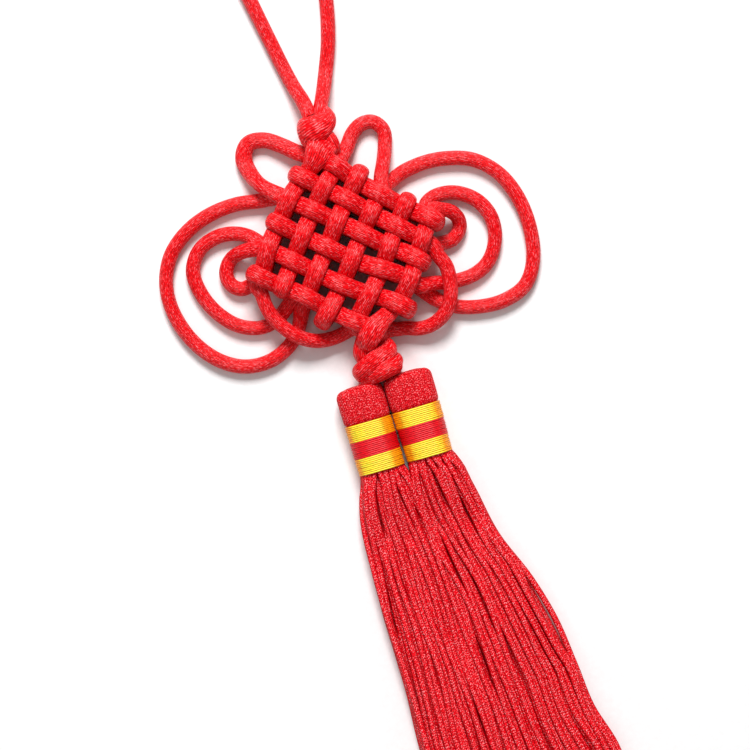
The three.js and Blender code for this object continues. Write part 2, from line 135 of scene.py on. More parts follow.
def fromTree(source, tree, settings, name):
    # run the tree on the source, keep the result as a plain mesh, and drop source and modifier
    modifier = source.modifiers.new("shape", "NODES")
    modifier.node_group = tree
    ids = {item.name: item.identifier for item in tree.interface.items_tree}
    for label, value in settings.items():
        modifier[ids[label]] = value
    graph = bpy.context.evaluated_depsgraph_get()
    mesh = bpy.data.meshes.new_from_object(source.evaluated_get(graph))
    mesh.name = name
    piece = bpy.data.objects.new(name, mesh)
    bpy.context.scene.collection.objects.link(piece)
    bpy.data.objects.remove(source)
    print(name, "has", sum(len(p.vertices) - 2 for p in mesh.polygons), "triangles")
    return piece


# A cord swept along its guide. The guide's points say how broad and how deep it is there, as
# shares of the width and the thickness. U is the length in centimetres and V goes once round
def sweptCordTree():
    size = "NodeSocketFloat"
    tree, given, result = newTree("sweptCord", [
        ("Guide", "NodeSocketGeometry", None), ("Width", size, 0.0025),
        ("Thickness", size, 0.0025), ("Sides", "NodeSocketInt", 24),
        ("Finish", "NodeSocketMaterial", None),
    ])
    line = addNode(tree, "GeometryNodeMeshToCurve", {"Mesh": given["Guide"]})
    kept = captured(tree, line.outputs[0], [
        ("VECTOR", "place", addNode(tree, "GeometryNodeInputPosition").outputs[0]),
        ("VECTOR", "along", addNode(tree, "GeometryNodeInputTangent").outputs[0]),
        ("VECTOR", "side", named(tree, "side", "FLOAT_VECTOR")),
        ("FLOAT", "broad", named(tree, "broad", "FLOAT")),
        ("FLOAT", "deep", named(tree, "deep", "FLOAT")),
        ("FLOAT", "start", named(tree, "start", "FLOAT")),
        ("FLOAT", "far", addNode(tree, "GeometryNodeSplineParameter").outputs["Length"]),
    ])
    circle = addNode(tree, "GeometryNodeCurvePrimitiveCircle",
                     {"Resolution": given["Sides"], "Radius": 1.0})
    rim = captured(tree, circle.outputs[0], [
        ("FLOAT", "turn", addNode(tree, "GeometryNodeSplineParameter").outputs["Factor"]),
    ])
    swept = addNode(tree, "GeometryNodeCurveToMesh", {
        "Curve": kept[0], "Profile Curve": rim[0], "Fill Caps": True,
    })

    place, along, side = kept["place"], kept["along"], kept["side"]
    here = addNode(tree, "GeometryNodeInputPosition").outputs[0]
    offset = vectorMath(tree, "SUBTRACT", here, place)
    above = vectorMath(tree, "CROSS_PRODUCT", along, side)
    skin = place
    for across, share, axis in (("Width", "broad", side), ("Thickness", "deep", above)):
        reach = number(tree, "MULTIPLY", given[across], kept[share])
        reach = number(tree, "MULTIPLY", reach, vectorMath(tree, "DOT_PRODUCT", offset, axis))
        reach = number(tree, "MULTIPLY", reach, 0.5)
        skin = vectorMath(tree, "ADD", skin, scaled(tree, axis, reach))
    shaped = addNode(tree, "GeometryNodeSetPosition", {
        "Geometry": swept.outputs[0], "Position": skin,
    })
    patternAt = number(tree, "ADD", kept["far"], kept["start"])
    grid = addNode(tree, "ShaderNodeCombineXYZ", {
        0: number(tree, "MULTIPLY", patternAt, 100.0), 1: roundTurn(tree, rim["turn"]),
    })
    finishTree(tree, shaped.outputs[0], grid.outputs[0], given["Finish"], result)
    return tree


# Materials
def newMaterial(name, look):
    material = bpy.data.materials.new(name)
    material.use_nodes = True
    tree = material.node_tree
    shader = tree.nodes["Principled BSDF"]
    shader.inputs["Roughness"].default_value = look["roughness"]
    shader.inputs["Specular IOR Level"].default_value = look["gloss"]
    return material, tree, shader


def ramp(tree, factor, stops):
    node = addNode(tree, "ShaderNodeValToRGB", {0: factor})
    elements = node.color_ramp.elements
    while len(elements) < len(stops):
        elements.new(0.5)
    for element, (position, colour) in zip(elements, stops):
        element.position = position
        element.color = (*colour, 1)
    return node.outputs["Color"]


def paintedShadeAndHighlight(tree, height, look):
    # painted shade: the deep tone in the valleys between the threads, then the body's own tone,
    # and a painted highlight in the light tone on the highest threads
    tones = (look["deep"], look["body"], look["body"], look["light"])
    return ramp(tree, height, list(zip(look["stops"], tones)))


def bumped(tree, shader, height, distance):
    node = addNode(tree, "ShaderNodeBump", {
        "Height": height, "Distance": distance, "Strength": 1.0,
    })
    tree.links.new(node.outputs["Normal"], shader.inputs["Normal"])


def noise(tree, vector, scale=1.0, detail=2.0):
    node = addNode(tree, "ShaderNodeTexNoise", {
        "Vector": vector, "Scale": scale, "Detail": detail, "Roughness": 0.6,
    })
    return node.outputs[0]


def cordCoordinates(tree, perCentimetre, perTurn):
    # the length in centimetres, the turn from 0 to 1, and both wound on a cylinder with no seam
    uv = addNode(tree, "ShaderNodeUVMap").outputs[0]
    split = addNode(tree, "ShaderNodeSeparateXYZ", {0: uv})
    along, turn = split.outputs[0], split.outputs[1]
    angle = number(tree, "MULTIPLY", turn, math.tau)
    radius = perTurn / math.tau
    wound = addNode(tree, "ShaderNodeCombineXYZ", {
        0: number(tree, "MULTIPLY", along, perCentimetre),
        1: number(tree, "MULTIPLY", number(tree, "COSINE", angle), radius),
        2: number(tree, "MULTIPLY", number(tree, "SINE", angle), radius),
    }).outputs[0]
    return along, turn, wound


# The knot's cord is of satin: fine lines of thread run along it, broken into glossy dashes. Their
# valleys get painted shade and their highest dashes a painted highlight
satinLook = {
    # deep is painted shade in the valleys and light is a painted highlight on the highest dashes
    "deep": (0.36, 0.0, 0.002), "body": (0.88, 0.0, 0.004), "light": (1.0, 0.22, 0.25),
    "stops": (0.46, 0.60, 0.82, 1.0),  # the heights where those tones begin and end
    "threads": 34,  # lines of thread round the cord
    "threadShare": 0.36,  # how much the lines show beside the dashes
    "dashesPerCentimetre": 17.5, "dashScale": 1.06,
    "sway": 0.10, "swayLength": 0.31,  # of a line, in lines and in centimetres
    "wander": 1.4, "wanderScale": 0.4,
    "relief": 0.00012, "roughness": 0.32, "gloss": 0.20,
}


def satinMaterial():
    look = satinLook
    material, tree, shader = newMaterial("satinCord", look)
    along, turn, wound = cordCoordinates(tree, look["dashesPerCentimetre"], look["threads"])
    angle = number(tree, "DIVIDE", along, look["swayLength"] / math.tau)
    sway = number(tree, "MULTIPLY", number(tree, "SINE", angle), look["sway"])
    wander = noise(tree, wound, look["wanderScale"], 1.0)
    phase = number(tree, "MULTIPLY_ADD", turn, look["threads"], sway)
    phase = number(tree, "MULTIPLY_ADD", wander, look["wander"], phase)
    thread = number(tree, "SINE", number(tree, "MULTIPLY", phase, math.tau))
    thread = number(tree, "MULTIPLY_ADD", thread, 0.5, 0.5)
    dashes = noise(tree, wound, look["dashScale"])
    height = number(tree, "MULTIPLY_ADD", thread, look["threadShare"], dashes)
    # the base colour carries painted shade in the valleys and a painted highlight on the peaks
    tree.links.new(paintedShadeAndHighlight(tree, height, look), shader.inputs["Base Color"])
    bumped(tree, shader, height, look["relief"])
    return material


# The tassels are of knitted cord: wales of small V stitches, with fluff, painted shade between
# the stitches and a painted highlight on their highest parts. In centimetres
knitting = {
    "stitch": 0.046, "slant": 1.4, "sharpness": 1.6,
    "legs": 0.9, "valleys": 0.6, "fluff": 1.25,  # how much each adds to the height
    "fluffPerCentimetre": 60.0, "fluffAlong": 0.5,  # fewer along the cord than round it
    "wander": 1.8, "wanderScale": 0.23,
    "toneShare": 0.85,
}
# In both looks deep is painted shade between the stitches and light a painted highlight on their
# highest parts
yarnLooks = {
    "tassel": {
        "deep": (0.42, 0.0, 0.002), "body": (0.98, 0.0, 0.010), "light": (1.0, 0.46, 0.50),
        "stops": (0.55, 0.67, 0.78, 0.92),
        "wales": 5, "girth": 0.32,
        "paintedSideShade": 0.2,  # painted shade: how much darker a strand is where it lies against the next
        "relief": 0.00010, "roughness": 0.5, "gloss": 0.14,
    },
    "head": {
        "deep": (0.42, 0.0, 0.003), "body": (0.78, 0.0, 0.007), "light": (1.0, 0.26, 0.28),
        "stops": (0.58, 0.70, 0.80, 0.94),
        "wales": 46, "girth": 2.5, "paintedSideShade": 0.0,
        "relief": 0.00010, "roughness": 0.5, "gloss": 0.12,
    },
}


def yarnMaterial(name, look):
    material, tree, shader = newMaterial(name + "Yarn", look)
    fluffs = knitting["fluffPerCentimetre"]
    along, turn, wound = cordCoordinates(tree, fluffs * knitting["fluffAlong"],
                                         fluffs * look["girth"])
    fluff = noise(tree, wound)
    wander = noise(tree, wound, knitting["wanderScale"], 0.0)
    wander = number(tree, "MULTIPLY", wander, knitting["wander"])
    wale = number(tree, "PINGPONG", number(tree, "MULTIPLY", turn, look["wales"]), 0.5)
    row = number(tree, "DIVIDE", along, knitting["stitch"])
    row = number(tree, "MULTIPLY_ADD", wale, knitting["slant"], row)
    row = number(tree, "ADD", row, wander)
    leg = number(tree, "POWER", number(tree, "PINGPONG", row, 0.5), knitting["sharpness"])
    valley = number(tree, "PINGPONG", wale, 0.25)
    height = number(tree, "MULTIPLY", valley, knitting["valleys"])
    height = number(tree, "MULTIPLY_ADD", leg, knitting["legs"], height)
    height = number(tree, "MULTIPLY_ADD", fluff, knitting["fluff"], height)
    # painted shade along both sides of a strand, where it lies against the next; the bump sinks
    # there as well
    if look["paintedSideShade"]:
        cosine = number(tree, "COSINE", number(tree, "MULTIPLY", turn, math.tau))
        sideShadeMask = number(tree, "POWER", number(tree, "ABSOLUTE", cosine), 3.0)
        height = number(tree, "MULTIPLY_ADD", sideShadeMask, -look["paintedSideShade"], height)
    tone = number(tree, "MULTIPLY", height, knitting["toneShare"])
    # the base colour carries painted shade where the height is low and a painted highlight where
    # it is high
    tree.links.new(paintedShadeAndHighlight(tree, tone, look), shader.inputs["Base Color"])
    bumped(tree, shader, height, look["relief"])
    return material


# The thread of the bands has painted shade: its colour goes orange where a face tips away from
# the light. It also has painted sheen in streaks of lighter colour
threadPaintedLight = {
    "streaksPerCentimetre": 13.0, "streaksPerMetreAcross": 4200.0,
    # the painted sheen streaks go from the dullest colour to the full colour between these parts
    # of the noise
    "dullest": 0.36, "brightest": 0.58,
    "turned": 0.78, "facing": 0.86,  # how far up a face looks, from full painted shade to none
    # a face that looks right counts for less of that on the left tassel and for more on the right
    # one, so the painted shade comes sooner on the side towards the gap between the tassels. Both
    # places are in metres from the knot's middle
    "from": -0.005, "to": 0.004, "rightAtFrom": -0.24, "rightAtTo": 0.06,
}
# Each look has the thread's colour where it faces up, a painted shade colour for where it tips
# away, and how dark the colour goes between the painted sheen streaks
threadLooks = {
    "yellow": {
        "facing": (1.0, 1.0, 0.05), "turned": (1.0, 0.36, 0.002),
        "dull": 0.74, "relief": 0.00003, "roughness": 0.42, "gloss": 0.35,
    },
    "red": {
        "facing": (0.90, 0.0, 0.014), "turned": (0.78, 0.0, 0.006),
        "dull": 0.66, "relief": 0.00003, "roughness": 0.42, "gloss": 0.4,
    },
}


def threadMaterial(name, look):
    material, tree, shader = newMaterial(name, look)
    uv = addNode(tree, "ShaderNodeUVMap").outputs[0]
    place = addNode(tree, "ShaderNodeTexCoord").outputs
    split = addNode(tree, "ShaderNodeSeparateXYZ", {0: uv}).outputs
    spot = addNode(tree, "ShaderNodeSeparateXYZ", {0: place["Object"]}).outputs
    streaks = addNode(tree, "ShaderNodeCombineXYZ", {
        0: number(tree, "MULTIPLY", split[0], threadPaintedLight["streaksPerCentimetre"]),
        1: number(tree, "MULTIPLY", spot[1], threadPaintedLight["streaksPerMetreAcross"]),
    }).outputs[0]
    gloss = noise(tree, streaks)
    facing = addNode(tree, "ShaderNodeSeparateXYZ", {0: place["Normal"]}).outputs
    # painted shade: the colour follows how far a face looks up, and faces towards the gap between
    # the tassels count as less up
    right = addNode(tree, "ShaderNodeMapRange", {
        0: spot[0],
        1: knotMiddle.x + threadPaintedLight["from"], 2: knotMiddle.x + threadPaintedLight["to"],
        3: threadPaintedLight["rightAtFrom"], 4: threadPaintedLight["rightAtTo"],
    }).outputs[0]
    flat = number(tree, "MULTIPLY_ADD", facing[0], right, facing[2])
    flat = addNode(tree, "ShaderNodeMapRange", {
        0: flat, 1: threadPaintedLight["turned"], 2: threadPaintedLight["facing"],
    }).outputs[0]
    colour = ramp(tree, flat, [(0.0, look["turned"]), (1.0, look["facing"])])
    # painted sheen: the colour is darker between streaks of noise and full along them
    dull = addNode(tree, "ShaderNodeMapRange", {
        0: gloss, 1: threadPaintedLight["dullest"], 2: threadPaintedLight["brightest"], 3: look["dull"], 4: 1.0,
    })
    shade = scaled(tree, colour, dull.outputs[0])
    tree.links.new(shade, shader.inputs["Base Color"])
    bumped(tree, shader, gloss, look["relief"])
    return material


floorLook = {
    "dark": (0.90, 0.90, 0.90), "pale": (0.94, 0.94, 0.94), "grain": 900.0,
    "roughness": 0.7, "gloss": 0.2,
}


def floorMaterial():
    material, tree, shader = newMaterial("paleFloor", floorLook)
    place = addNode(tree, "ShaderNodeTexCoord").outputs["Object"]
    grain = noise(tree, place, floorLook["grain"])
    shade = ramp(tree, grain, [(0.3, floorLook["dark"]), (0.7, floorLook["pale"])])
    tree.links.new(shade, shader.inputs["Base Color"])
    return material


# Guides: a guide is a list of stations, each a place in millimetres, how broad and how deep
guideRules = {
    "upright": 0.35,  # a cord is upright where less than this of it is level
    "patternShift": 0.0173,  # metres from cord to cord, so that no two have the same pattern
    "clearance": 0.01,  # above the floor
}


def station(point, broad=1.0, deep=1.0):
    return Vector((*point, broad, deep))


def sideways(places):
    # the level direction across the cord, kept as it was where the cord stands upright
    sides, last = [], None
    for i in range(len(places)):
        along = (places[min(i + 1, len(places) - 1)] - places[max(i - 1, 0)]).normalized()
        level = up.cross(along)
        if last is None or level.length > guideRules["upright"]:
            if last is not None and level.dot(last) < 0:
                level.negate()
            last = level
        last = (last - along * last.dot(along)).normalized()
        sides.append(last)
    return sides


def guideObject(name, guides):
    vertices, edges, sides, broads, deeps, starts = [], [], [], [], [], []
    for order, guide in enumerate(guides):
        start = len(vertices)
        places = [inFrame(at) for at in guide]
        vertices += places
        edges += [(start + i, start + i + 1) for i in range(len(guide) - 1)]
        sides += sideways(places)
        broads += [at[3] for at in guide]
        deeps += [at[4] for at in guide]
        starts += [guideRules["patternShift"] * order] * len(guide)
    mesh = bpy.data.meshes.new(name)
    mesh.from_pydata(vertices, edges, [])
    flat = [value for side in sides for value in side]
    mesh.attributes.new("side", "FLOAT_VECTOR", "POINT").data.foreach_set("vector", flat)
    mesh.attributes.new("broad", "FLOAT", "POINT").data.foreach_set("value", broads)
    mesh.attributes.new("deep", "FLOAT", "POINT").data.foreach_set("value", deeps)
    mesh.attributes.new("start", "FLOAT", "POINT").data.foreach_set("value", starts)
    source = bpy.data.objects.new(name, mesh)
    bpy.context.scene.collection.objects.link(source)
    return source


def smoothCurve(stations, step):
    # centripetal curve through the stations, sampled about every step
    ends = [stations[0] * 2 - stations[1], *stations, stations[-1] * 2 - stations[-2]]
    samples = []
    for i in range(1, len(ends) - 2):
        p = ends[i - 1:i + 3]
        t = [0.0]
        for k in range(3):
            t.append(t[-1] + math.sqrt((p[k + 1] - p[k]).length))
        count = max(2, round((p[2] - p[1]).length / step))
        for n in range(count):
            at = t[1] + (t[2] - t[1]) * n / count
            near = [p[k].lerp(p[k + 1], (at - t[k]) / (t[k + 1] - t[k])) for k in range(3)]
            wide = [near[k].lerp(near[k + 1], (at - t[k]) / (t[k + 2] - t[k])) for k in range(2)]
            samples.append(wide[0].lerp(wide[1], (at - t[1]) / (t[2] - t[1])))
    samples.append(ends[-2])
    return samples


cordSizes = {
    "diameter": 2.5, "sides": 24, "step": 0.4,
    "pressedBroad": 1.2, "pressedDeep": 0.79,  # in the weave, as shares of the diameter
    "crossingGap": 0.2,
    "unevenGirth": 0.03, "unevenLengths": (1.7, 2.9, 4.7, 7.9),
    "bandDepth": 0.2,  # in the button knots, how much of its extra breadth a band is deeper too
}
weave = {
    "count": 6,
    "alongRow": Vector((3.35, -3.25, 0)),
    "alongColumn": Vector((-2.82, -3.33, 0)),
    "samples": 11,  # from one crossing to the next
    # a hairpin widens before its last crossing and turns past it, both in crossings. Its turn
    # reaches this many millimetres out
    "widens": 0.45, "turnStart": 0.14, "turnReach": 1.75, "turnSteps": 22, "turnRoundness": 0.9,
    # how far an open end runs straight on, in crossings, and those that turn off sooner: the
    # strand, its number and its face
    "exit": 0.38,
    "shortExits": {("row", 1, 1): 0.05, ("row", 1, -1): 0.1, ("row", 5, 1): 0.1,
                   ("row", 5, -1): 0.2, ("row", 6, 1): 0.1, ("row", 6, -1): 0.1,
                   ("column", 2, 1): 0.12, ("column", 3, 1): 0.05, ("column", 4, 1): 0.15,
                   ("column", 5, 1): 0.1, ("column", 5, -1): 0.1, ("column", 6, -1): 0.1},
    # hairpins of their own: how far they reach, how broad they are, how much narrower the tip
    # is, and which way it leans in millimetres. The button knots press on the two broad ones
    "ownTurns": {("column", 1): (2.4, 1.95, 0.0, (0.8, 0.4)),
                 ("column", 6): (3.5, 1.75, 0.4, (-0.1, 0.1)),
                 ("column", 2): (1.1, 1.2, 0.0, (0.0, 0.0)),
                 ("column", 3): (2.1, 1.2, 0.0, (0.0, 0.0)),
                 ("column", 4): (2.5, 1.25, 0.0, (-0.3, 0.0)),
                 ("row", 4): (1.35, 1.2, 0.0, (0.0, 0.0)),
                 ("row", 5): (2.8, 1.3, 0.0, (0.0, 0.2))},
    # where the weave is out of true: row and column, how far that reaches in rows and in
    # columns, and which way it goes in millimetres
    "pulls": [((4.3, 6.0), (1.8, 1.3), (2.2, 0.85)), ((1.0, 4.0), (1.2, 2.0), (-0.6, -0.5)),
              ((6.0, 1.0), (0.8, 1.1), (0.2, -1.1)), ((3.0, 4.0), (1.6, 1.6), (0.15, 0.45)),
              ((6.8, 4.0), (0.7, 0.7), (-0.7, 0.2)), ((1.0, 1.0), (1.2, 0.8), (1.1, -1.0)),
              ((6.3, 6.0), (1.0, 0.8), (-1.4, 1.1)), ((2.4, 3.0), (1.4, 2.0), (0.2, 0.6)),
              ((1.0, 2.0), (0.6, 0.6), (0.45, 0.2)), ((6.2, 5.0), (0.7, 0.8), (-0.1, -0.45))],
}
pressedThickness = cordSizes["diameter"] * cordSizes["pressedDeep"]
lift = (pressedThickness + cordSizes["crossingGap"]) / 2
faceLevel = 2 * lift
middle = faceLevel + lift + pressedThickness / 2  # height of the weave's middle
rest = cordSizes["diameter"] / 2  # height of a cord that lies on the floor


def smoothstep(value):
    value = min(max(value, 0), 1)
    return value * value * (3 - 2 * value)


def onStrand(kind, index, place, height, broad=cordSizes["pressedBroad"]):
    centre = (weave["count"] + 1) / 2
    row, column = (index, place) if kind == "row" else (place, index)
    flat = weave["alongRow"] * (column - centre) + weave["alongColumn"] * (row - centre)
    for (atRow, atColumn), (down, across), shift in weave["pulls"]:
        away = ((row - atRow) / down) ** 2 + ((column - atColumn) / across) ** 2
        flat += Vector((*shift, 0)) * math.exp(-away)
    return station((flat.x, flat.y, height), broad, cordSizes["pressedDeep"])


def strandHeight(kind, index, place, face):
    # rows pass outermost at odd crossings and columns at even ones
    inside = min(max(place, 1), weave["count"])
    wave = math.cos(math.pi * (index + inside))
    return middle + face * (faceLevel + lift * (wave if kind == "column" else -wave))


def hairpinRun(kind, index):
    turnsAtFirst = index % 2 == (1 if kind == "column" else 0)
    return (weave["count"], -1) if turnsAtFirst else (1, 1)


def hairpin(kind, index, firstFace):
    # from the open end out on one face, over the turn, and back on the other
    opened, step = hairpinRun(kind, index)
    run = weave["count"] - 1
    closed = opened + step * run
    plain = (weave["turnReach"], cordSizes["pressedBroad"], 0.0, (0.0, 0.0))
    turnReach, turnBroad, taper, lean = weave["ownTurns"].get((kind, index), plain)
    samples = weave["samples"] * run
    widening = weave["widens"] + weave["turnStart"]

    def leg(face):
        stations = []
        for n in range(samples + 1):
            place = opened + step * (run + weave["turnStart"]) * n / samples
            widened = smoothstep(((place - closed) * step + weave["widens"]) / widening)
            broad = cordSizes["pressedBroad"] * (1 - widened) + turnBroad * widened
            height = strandHeight(kind, index, place, face)
            stations.append(onStrand(kind, index, place, height, broad))
        return stations

    start = onStrand(kind, index, closed + step * weave["turnStart"], middle, turnBroad)
    along = weave["alongRow" if kind == "row" else "alongColumn"] * step
    reach = turnReach - weave["turnStart"] * along.length
    outward = station(along.normalized() * reach + Vector((*lean, 0)), -taper, 0)
    rise = firstFace * (faceLevel + lift)
    turn = []
    for n in range(1, weave["turnSteps"]):
        angle = math.pi * n / weave["turnSteps"]
        bend = station(up * rise * math.cos(angle), 0, 0)
        turn.append(start + outward * math.sin(angle) ** weave["turnRoundness"] + bend)
    return leg(firstFace) + turn + leg(-firstFace)[::-1]


def openEnd(kind, index, face):
    opened, step = hairpinRun(kind, index)
    height = strandHeight(kind, index, opened, face)
    past = weave["shortExits"].get((kind, index, face), weave["exit"])
    return [onStrand(kind, index, opened - step * far, height) for far in (0, past)]


# Ears, from one open end to the next, as they lie. A point is its place across and along the
# knot, its height, and how broad the cord is there if it isn't round
ears = {
    "upperRight": [(5.2, 16.1, 1.9), (6.6, 18.0, rest), (8.6, 19.3, rest), (10.7, 19.2, rest),
                   (12.1, 17.2, rest), (11.5, 14.4, 1.5), (10.4, 11.7, 3.0), (9.4, 9.6, 4.5)],
    "rightOuter": [(11.0, 8.5, 1.5), (13.3, 9.4, rest), (17.6, 9.9, rest), (21.6, 9.4, rest),
                   (25.6, 7.9, rest), (29.1, 4.4, rest), (31.1, -0.7, rest), (31.5, -6.7, rest),
                   (30.3, -12.0, rest), (27.8, -15.4, rest), (23.7, -16.8, rest),
                   (19.3, -16.6, rest), (15.4, -15.4, rest), (12.6, -13.4, rest)],
    "rightInner": [(15.3, 2.7, 1.7), (17.2, 3.8, rest), (20.7, 3.5, rest), (24.0, 1.2, rest),
                   (25.6, -2.2, rest), (25.3, -6.0, rest), (23.1, -9.5, rest),
                   (20.2, -11.0, rest), (16.4, -11.2, 1.6), (13.0, -10.6, 3.3)],
    "rightSmall": [(17.4, 1.2, 4.0), (19.0, 0.5, 3.4), (20.1, -1.1, 2.0), (19.8, -2.9, rest),
                   (18.2, -4.2, rest), (16.4, -4.3, rest)],
    "lowerRight": [(14.9, -6.4, 4.6), (15.7, -8.4, 4.3), (15.6, -10.9, 4.2),
                   (15.0, -13.5, 4.1), (13.7, -15.6, 3.7), (11.8, -16.9, 3.0),
                   (9.7, -17.4, 2.4), (7.9, -17.2, 1.9), (6.2, -16.6, 1.7), (4.6, -16.3, 1.8)],
    "upperLeft": [(-3.3, 17.7, 2.2, 1.1), (-5.2, 19.4, 1.6, 1.1), (-8.1, 21.4, rest, 1.1),
                  (-10.9, 21.6, rest, 1.15), (-12.4, 19.4, rest, 1.2), (-12.0, 16.4, 1.9, 1.1),
                  (-10.6, 13.6, 4.2)],
    "leftOuter": [(-11.9, 11.6, rest), (-16.0, 12.2, rest), (-21.0, 11.7, rest),
                  (-25.6, 9.9, rest), (-29.2, 6.9, rest), (-31.3, 2.6, rest),
                  (-31.6, -2.2, rest), (-29.9, -8.0, rest), (-26.4, -12.7, rest),
                  (-22.2, -15.1, rest), (-17.6, -15.3, rest), (-13.6, -13.5, rest),
                  (-11.4, -11.0, rest)],
    "leftInner": [(-15.4, 6.3, 1.7), (-17.8, 7.5, rest), (-20.9, 7.7, rest), (-24.2, 6.4, rest),
                  (-26.3, 3.2, rest), (-26.0, -1.0, rest), (-24.2, -5.0, rest),
                  (-21.4, -8.0, rest), (-17.8, -9.4, rest), (-14.8, -8.9, 1.8),
                  (-12.9, -7.7, 2.4), (-11.2, -6.4, 3.4), (-9.9, -5.9, 3.9)],
    "leftSmall": [(-17.0, 3.9, 3.0), (-19.5, 3.3, rest), (-20.9, 1.3, rest),
                  (-20.7, -0.8, rest), (-19.2, -2.1, rest), (-17.4, -2.0, 1.5)],
    "lowerLeft": [(-15.9, -3.9, 5.0), (-15.8, -6.2, 4.7), (-15.1, -8.6, 4.4),
                  (-13.8, -10.8, 4.2), (-12.0, -12.8, 3.9), (-9.4, -14.3, 2.8),
                  (-6.4, -14.7, 1.9), (-3.9, -14.3, 2.2)],
}

# Each half of the cord in order: a hairpin with the face it starts on, then the ear after it,
# which is walked backwards where its name ends in a minus sign
cordHalves = {
    "right": [("column", 2, 1, "upperRight"), ("column", 4, 1, "rightOuter"),
              ("row", 4, -1, "rightInner-"), ("column", 6, -1, "rightSmall"),
              ("row", 2, -1, "lowerRight"), ("row", 6, -1, None)],
    "left": [("row", 1, 1, "upperLeft"), ("row", 3, 1, "leftOuter"),
             ("column", 3, -1, "leftInner-"), ("row", 5, -1, "leftSmall"),
             ("column", 1, -1, "lowerLeft"), ("column", 5, -1, None)],
}

# Through the button knots the cord is pulled into bands. The last figure of each point is how
# broad it is there
buttons = {
    "topRight": [(2.6, 22.9, 4.4, 1.1), (3.1, 21.7, 5.2, 1.4), (2.7, 20.8, 6.3, 1.6),
                 (1.5, 20.2, 7.1, 1.9), (0.2, 19.9, 7.0, 2.15), (-0.55, 19.8, 5.9, 2.35),
                 (-0.75, 19.8, 4.2, 2.35), (-0.3, 19.7, 2.5, 1.6), (1.0, 19.3, 1.8, 1.1),
                 (2.2, 17.6, 1.9, 1.0), (2.6, 15.8, 3.0, 1.0)],
    "topLeft": [(0.5, 22.6, 4.0, 1.0), (0.6, 21.2, 4.2, 1.1), (1.1, 19.9, 4.9, 1.2),
                (1.9, 18.8, 5.7, 1.3), (2.5, 17.6, 5.9, 1.25), (2.7, 16.3, 5.2, 1.2),
                (2.4, 15.5, 3.6, 1.0), (1.4, 16.2, 2.0, 1.0), (0.2, 16.9, 2.0, 1.0),
                (-0.8, 17.0, 3.2, 1.0)],
    "lowRight": [(1.6, -17.7, 4.0, 1.0), (2.1, -18.8, 4.7, 1.25), (1.8, -19.6, 5.7, 1.4),
                 (-0.4, -20.5, 6.3, 1.5), (-2.6, -21.4, 5.5, 1.4), (-3.6, -21.9, 4.0, 1.35),
                 (-2.6, -22.1, 2.3, 1.1), (0.0, -22.4, 1.8, 1.0), (1.7, -23.2, 2.2, 1.0),
                 (2.3, -24.4, 2.7, 1.0), (2.7, -25.8, 3.0, 1.0)],
    "lowLeft": [(-1.0, -15.5, 4.0, 1.1), (-1.5, -17.0, 4.7, 1.3), (-2.3, -18.5, 4.5, 1.3),
                (-1.8, -19.6, 3.2, 1.3), (0.2, -20.2, 2.0, 1.1), (2.0, -20.9, 2.4, 1.2),
                (2.6, -21.6, 4.3, 1.35), (2.1, -22.1, 6.1, 1.3), (0.5, -22.5, 6.6, 1.25),
                (-1.2, -22.9, 5.6, 1.1), (-2.6, -23.4, 3.8, 1.0), (-3.6, -24.4, 3.1, 1.0),
                (-4.0, -26.0, 3.1, 1.0)],
}


def buttonStations(name):
    return [station((x, y, z), broad, 1 + (broad - 1) * cordSizes["bandDepth"])
            for x, y, z, broad in buttons[name]]


def cordHalf(side):
    # one half of the cord, from the hanging loop's leg to the tassel's head
    half, step = cordHalves[side], cordSizes["step"]
    kind, index, face = half[0][:3]
    lead = buttonStations("top" + side.title()) + openEnd(kind, index, face)[::-1]
    stations = smoothCurve(lead, step)[:-1]
    for order, (kind, index, face, ear) in enumerate(half):
        stations += hairpin(kind, index, face)
        route = openEnd(kind, index, -face)
        if ear:
            nextKind, nextIndex, nextFace = half[order + 1][:3]
            between = [station(point[:3], *point[3:]) for point in ears[ear.rstrip("-")]]
            route += between[::-1] if ear.endswith("-") else between
            route += openEnd(nextKind, nextIndex, nextFace)[::-1]
            stations += smoothCurve(route, step)[1:-1]
        else:
            route += buttonStations("low" + side.title())
            stations += smoothCurve(route, step)[1:]
    return stations


def evenly(stations, step):
    # the same route with its stations one step apart
    spaced, spare = [stations[0]], 0.0
    for a, b in zip(stations, stations[1:]):
        length = Vector((b - a)[:3]).length
        while spare + length >= step and length > 0:
            a = a.lerp(b, (step - spare) / length)
            spaced.append(a)
            length = Vector((b - a)[:3]).length
            spare = 0.0
        spare += length
    return spaced


def blurred(stations, reach):
    smooth = []
    for i in range(len(stations)):
        near = stations[max(i - reach, 0):i + reach + 1]
        smooth.append(sum(near[1:], near[0]) / len(near))
    return smooth


def cordGuide(stations, seed):
    step = cordSizes["step"]
    spaced = evenly(stations, step)
    drawn = random.Random(seed)
    waves = [(length, drawn.uniform(0, math.tau)) for length in cordSizes["unevenLengths"]]
    guide = []
    for i, (at, around) in enumerate(zip(blurred(spaced, 1), blurred(spaced, 3))):
        wave = sum(math.sin(i * step / length + phase) for length, phase in waves) / len(waves)
        girth = 1 + cordSizes["unevenGirth"] * wave
        deep = around[4] * girth
        height = max(at[2], rest * deep + guideRules["clearance"])
        guide.append(station((at[0], at[1], height), around[3] * girth, deep))
    return guide


sweptCord = sweptCordTree()
satinCord = satinMaterial()
cordSettings = {
    "Width": cordSizes["diameter"] * mm, "Thickness": cordSizes["diameter"] * mm,
    "Sides": cordSizes["sides"], "Finish": satinCord,
}


def makeCord(name, stations, node, seed):
    guide = guideObject(name + "Guide", [cordGuide(stations, seed)])
    piece = fromTree(guide, sweptCord, cordSettings, name)
    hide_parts(node)
    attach(piece, "root")


